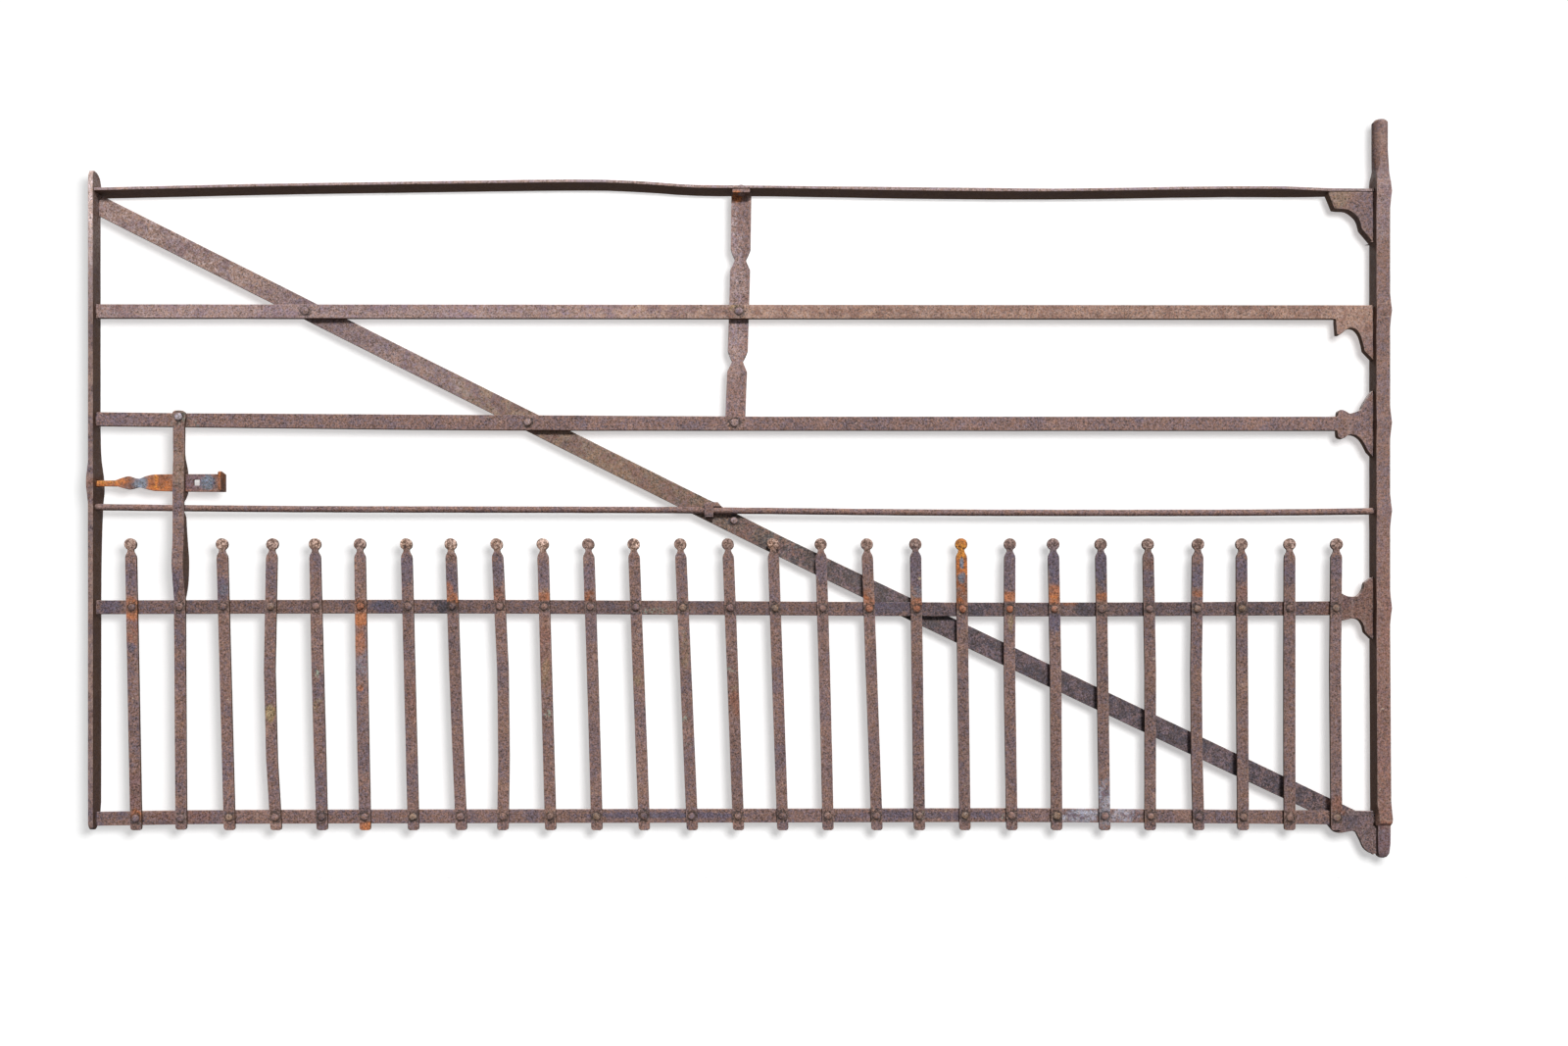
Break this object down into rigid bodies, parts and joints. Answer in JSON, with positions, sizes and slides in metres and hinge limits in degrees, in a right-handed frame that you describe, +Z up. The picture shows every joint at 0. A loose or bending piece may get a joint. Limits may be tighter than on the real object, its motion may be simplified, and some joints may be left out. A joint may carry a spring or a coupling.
{
  "type": "garden gate",
  "caption": "Blacksmith-made wrought-iron gate with a diagonal brace, cusped knees at its hanging stile, a row of dog bars and a sliding latch bolt.",
  "frame": {"origin": "tip of the hanging stile's pivot foot, on the hanging axis", "axes": "+Z up along the hanging axis; the gate reaches towards -X, so its latch is at -X; -Y is the front, where the dog bars are"},
  "size_m": [2.649, 0.0595, 1.503],
  "materials": {
    "stiles": "rusted wrought iron, matt purple-brown scale with worn paler arrises",
    "rails": "rusted wrought iron, matt purple-brown with grey-violet mottling and pitting",
    "dog_bars": "rusted wrought iron, matt purple-brown, brighter orange patches on some bars, worn ball tops",
    "latch": "bright orange rust with blue-grey scale where hands and the guide rub",
    "rivets": "rusted wrought iron, hammered heads"
  },
  "bodies": {
    "gate_frame": {"bottom_rail": "rails", "brace": "rails", "brace_rivet_middle": "rivets", "brace_rivet_upper": "rivets", "centre_strut": "rails", "clip_rivet": "rivets", "clip_wedge": "rails", "dog_bar_01": "dog_bars", "dog_bar_03": "dog_bars", "dog_bar_04": "dog_bars", "dog_bar_05": "dog_bars", "dog_bar_06": "dog_bars", "dog_bar_07": "dog_bars", "dog_bar_08": "dog_bars", "dog_bar_09": "dog_bars", "dog_bar_10": "dog_bars", "dog_bar_11": "dog_bars", "dog_bar_12": "dog_bars", "dog_bar_13": "dog_bars", "dog_bar_14": "dog_bars", "dog_bar_15": "dog_bars", "dog_bar_16": "dog_bars", "dog_bar_17": "dog_bars", "dog_bar_18": "dog_bars", "dog_bar_19": "dog_bars", "dog_bar_20": "dog_bars", "dog_bar_21": "dog_bars", "dog_bar_22": "dog_bars", "dog_bar_23": "dog_bars", "dog_bar_24": "dog_bars", "dog_bar_25": "dog_bars", "dog_bar_26": "dog_bars", "dog_bar_27": "dog_bars", "dog_rail": "rails", "guide_rivet_bottom": "rivets", "guide_rivet_dog": "rivets", "guide_rivet_upper": "rivets", "head_stile": "stiles", "heel_stile": "stiles", "latch_guide": "rails", "middle_rail": "rails", "rod_clip": "rails", "round_rail": "rails", "strut_foot_rivet": "rivets", "strut_rivet_middle": "rivets", "strut_rivet_upper": "rivets", "top_knee": "rails", "top_rail": "rails", "upper_rail": "rails"},
    "latch": {"latch_bolt": "latch"}
  },
  "joints": [
    {"name": "latch_slide", "type": "slide", "parent": "gate_frame", "child": "latch", "axis": [-1, 0, 0], "range_m": [0, 0.035]}
  ]
}
